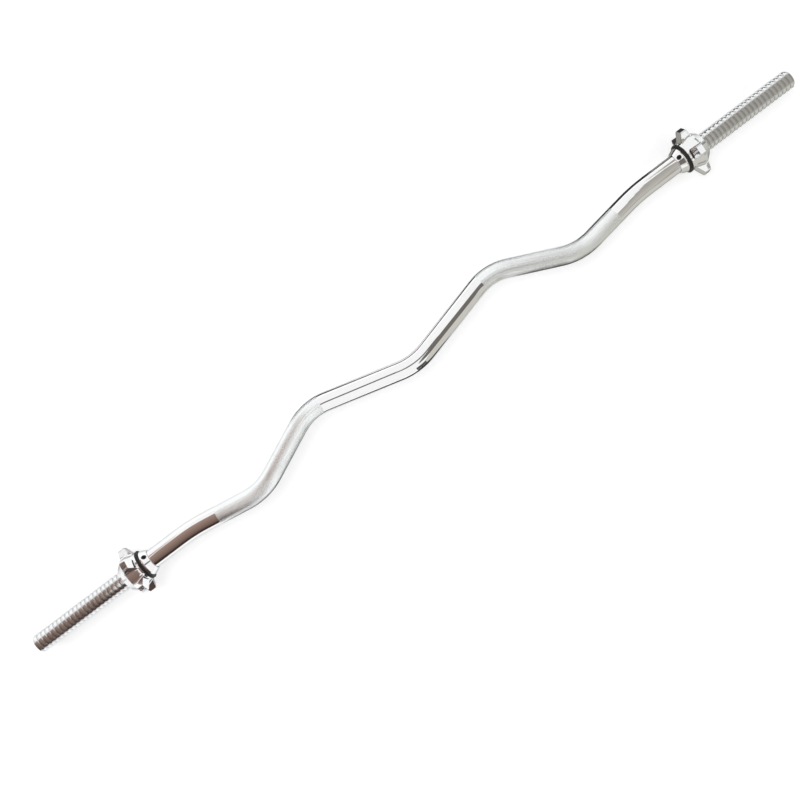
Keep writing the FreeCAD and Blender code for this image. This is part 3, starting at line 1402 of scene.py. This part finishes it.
@dataclass
class Studio:
    """The floor, the room's light, the lamps, the cards and the camera."""

    centre: Vector
    tilt: float = math.radians(10)
    roll: float = math.radians(37.06)
    distance: float = 1.277
    lens: float = 45.0
    shift_right: float = 13.8
    shift_up: float = 38.4
    focal_pixels: float = 1000.0
    nearest: float = 0.01
    floor_size: float = 14.0
    floor_tone: float = 0.80
    floor_glow: float = 0.36
    room_light: float = 0.55
    lamps: tuple[Lamp, ...] = (
        Lamp("key_lamp", (-0.6, 1.2, 2.2), power=26.0, size=1.6),
        Lamp("fill_lamp", (0.9, -1.4, 2.0), power=14.0, size=1.8),
    )
    cards: tuple[Card, ...] = (
        *level(
            FLOOR, BLACK_CARD,
            line_far=(-0.2, 0.06, 0.455, 0.11),
            line_far_shoulder=(0.27, 0.01, 0.400, 0.06),
            line_far_thread=(0.455, 0.05, 0.80, 0.11),
            line_near=(-0.33, -0.13, 0.02, -0.040),
            dark_spot=(0.0, -0.4, 0.075, -0.05),
            dark_floor=(0.165, -0.16, 0.30, -0.02),
        ),
        *level(FLOOR, WARM_GREY, grey_lobe=(0.400, 0.015, 0.445, 0.06)),
        *level(
            FLOOR, WARM_PALE,
            warm_floor=(0.075, -0.85, 0.165, -0.04),
            warm_floor_near=(0.165, -0.85, 0.30, -0.16),
            warm_floor_end=(0.30, -0.85, 1.3, -0.04),
        ),
        *level(RIG, GREY_CARD, thin_flag=(-0.17, 0.01, 0.03, 0.12)),
        *level(RIG, WARM_DARK, dark_flag=(0.03, -0.33, 0.25, 0.09)),
        *level(RIG, WARM_PALE, warm_inner=(0.12, -0.85, 0.45, -0.33)),
        *level(
            RIG, WARM_PALE, WARM_GREY,
            warm_bend=(0.37, -0.33, 0.45, 0.05),
            warm_turn_inner=(0.45, -0.85, 0.475, 0.11),
            warm_turn=(0.475, -0.85, 0.50, 0.18),
            warm_turn_outer=(0.50, -0.85, 0.525, 0.26),
            warm_shoulder=(0.525, -0.85, 0.60, 0.34),
            warm_gap=(0.60, -0.85, 0.635, -0.22),
        ),
        *level(
            RIG, WARM_GREY,
            warm_thread=(0.70, -0.85, 1.25, 1.0),
            warm_thread_near=(0.635, -0.85, 0.70, -0.46),
            warm_thread_far=(0.635, -0.37, 0.70, 0.7),
        ),
        *level(
            RIG, BROWN, PINK,
            brown_shoulder=(-0.60, -0.73, -0.34, 0.55),
            brown_thread=(-1.0, -0.73, -0.635, 1.0),
        ),
        *level(
            RIG, BROWN,
            brown_gap=(-0.635, -0.73, -0.60, -0.22),
            dark_lobe=(-0.80, 0.88, -0.73, 0.95),
        ),
        Card("dark_upright", (0.0, -0.55, FLOOR), (0.10, -0.55, 0.36), BLACK_CARD, GREY_CARD),
        Card("warm_wall", (0.12, -0.85, FLOOR), (1.3, -0.85, RIG), WARM_PALE),
        Card("brown_wall", (-0.70, -0.73, 0.16), (-0.42, -0.73, RIG), BROWN),
        Card("brown_wall_thread", (-1.2, -0.73, 0.25), (-0.70, -0.73, RIG), BROWN),
    )

    def build(self) -> None:
        """Lay the floor, light the room, hang the cards and the lamps and set the camera."""
        bpy.context.scene.view_settings.view_transform = "Standard"
        self.floor()
        self.sky()
        for card in self.cards:
            self.hang(card)
        for lamp in self.lamps:
            self.shine(lamp)
        self.camera()

    def background_mask(self, tree: Tree) -> Socket:
        """Wire a mask that is one where the eye, a mirror or glass looks straight at a surface.

        Args:
            tree: The tree of a material or the world.

        Returns:
            The output that carries the mask.
        """
        rays = put(tree, "ShaderNodeLightPath").outputs
        seen = maths(tree, "MAXIMUM", rays["Is Camera Ray"], rays["Is Glossy Ray"])
        return maths(tree, "MAXIMUM", seen, rays["Is Transmission Ray"])

    def floor(self) -> None:
        """Lay a pale floor that looks white and keeps the bar's shadow."""
        clear_selection()
        bpy.ops.mesh.primitive_plane_add(size=self.floor_size)
        floor = newly_added("floor")
        paint = bpy.data.materials.new("pale_floor")
        paint.use_nodes = True
        tree = paint.node_tree
        shader = tree.nodes["Principled BSDF"]
        shader.inputs["Base Color"].default_value = opaque((self.floor_tone,) * 3)
        shader.inputs["Roughness"].default_value = 1.0
        shader.inputs["Specular IOR Level"].default_value = 0.0
        shader.inputs["Emission Color"].default_value = opaque(WHITE)
        glow = maths(tree, "MULTIPLY", self.background_mask(tree), self.floor_glow)
        tree.links.new(glow, shader.inputs["Emission Strength"])
        floor.data.materials.append(paint)

    def sky(self) -> None:
        """Fill the room with soft light and make it look white."""
        world = bpy.data.worlds.new("studio_room")
        bpy.context.scene.world = world
        world.use_nodes = True
        tree = world.node_tree
        background = tree.nodes["Background"]
        strength = spread(tree, self.background_mask(tree), low=self.room_light)
        tree.links.new(strength, background.inputs["Strength"])
        background.inputs["Color"].default_value = opaque(WHITE)

    def hang(self, card: Card) -> None:
        """Hang one card where only the metal sees it.

        Args:
            card: The card to hang.
        """
        reach = Vector(card.end) - Vector(card.start)
        clear_selection()
        size = [max(length, card.thickness) for length in reach]
        bpy.ops.mesh.primitive_cube_add(size=1.0, location=Vector(card.start) + reach / 2, scale=size)
        sheet = newly_added(card.name)
        for sight in ("camera", "diffuse", "transmission", "shadow", "volume_scatter"):
            setattr(sheet, f"visible_{sight}", False)
        paint = bpy.data.materials.new(card.name)
        paint.use_nodes = True
        tree = paint.node_tree
        tree.nodes.remove(tree.nodes["Principled BSDF"])
        axis = card.grading_axis
        place = put(tree, "ShaderNodeTexCoord").outputs["Object"]
        along = put(tree, "ShaderNodeSeparateXYZ", {"Vector": place}).outputs[axis]
        share = spread(tree, along, card.start[axis], card.end[axis])
        glow = put(tree, "ShaderNodeEmission", {"Color": mixed(tree, share, card.low, card.high or card.low)})
        tree.links.new(glow.outputs[0], tree.nodes["Material Output"].inputs["Surface"])
        sheet.data.materials.append(paint)

    def shine(self, lamp: Lamp) -> None:
        """Hang one lamp, out of the metal's sight, and aim it at the bar.

        Args:
            lamp: The lamp to hang.
        """
        data = bpy.data.lights.new(lamp.name, "AREA")
        data.energy = lamp.power
        data.size = lamp.size
        light = bpy.data.objects.new(lamp.name, data)
        light.location = lamp.place
        light.rotation_mode = "QUATERNION"
        light.rotation_quaternion = (self.centre - Vector(lamp.place)).to_track_quat("-Z", "Y")
        light.visible_glossy = False
        bpy.context.scene.collection.objects.link(light)

    def camera(self) -> None:
        """Set the camera over the bar, turned so that the bar runs up to the right."""
        data = bpy.data.cameras.new("camera")
        data.lens = self.lens
        data.clip_start = self.nearest
        camera = bpy.data.objects.new("camera", data)
        back = Vector((0, math.sin(self.tilt), math.cos(self.tilt)))
        upward = Vector((0, math.cos(self.tilt), -math.sin(self.tilt)))
        along = Vector((1, 0, 0))
        right = math.cos(self.roll) * along - math.sin(self.roll) * upward
        up = math.sin(self.roll) * along + math.cos(self.roll) * upward
        place = self.centre + self.distance * back
        place -= self.distance / self.focal_pixels * (self.shift_right * right + self.shift_up * up)
        turned = Matrix((right, up, back)).transposed().to_4x4()
        camera.matrix_world = Matrix.Translation(place) @ turned
        bpy.context.scene.collection.objects.link(camera)
        bpy.context.scene.camera = camera


def main() -> None:
    """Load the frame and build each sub-assembly in order."""
    logging.basicConfig(level=logging.INFO, format="%(name)s: %(message)s")
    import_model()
    thread_low, thread_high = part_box("threaded_end_right")
    collar_low, collar_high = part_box("stop_collar_right")
    ring_low, ring_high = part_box("rubber_ring_right")
    nut_low, nut_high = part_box("star_nut_right")
    centre = Vector((0, (thread_low.y + thread_high.y) / 2, (thread_low.z + thread_high.z) / 2))
    rod_radius = (thread_high.z - thread_low.z) / 2
    thread = ThreadForm(axis=centre, crest=rod_radius)
    finishes = {finish.slot: finish.material(thread) for finish in FINISHES}
    path = BentPath(centre=centre, reach=thread_low.x)
    shoulders = CurlBar(path, thread, rod_radius, thread_high.x, thread_low.x).build(finishes)
    StopCollar(centre, collar_low.x, collar_high.x, rod_radius).build(finishes, shoulders)
    ring_radius = (ring_high.z - ring_low.z) / 2
    StarNut(centre, thread, ring_low.x, ring_high.x, nut_low.x, nut_high.x, ring_radius).build(finishes)
    Studio(centre).build()


if __name__ == "__main__":
    main()
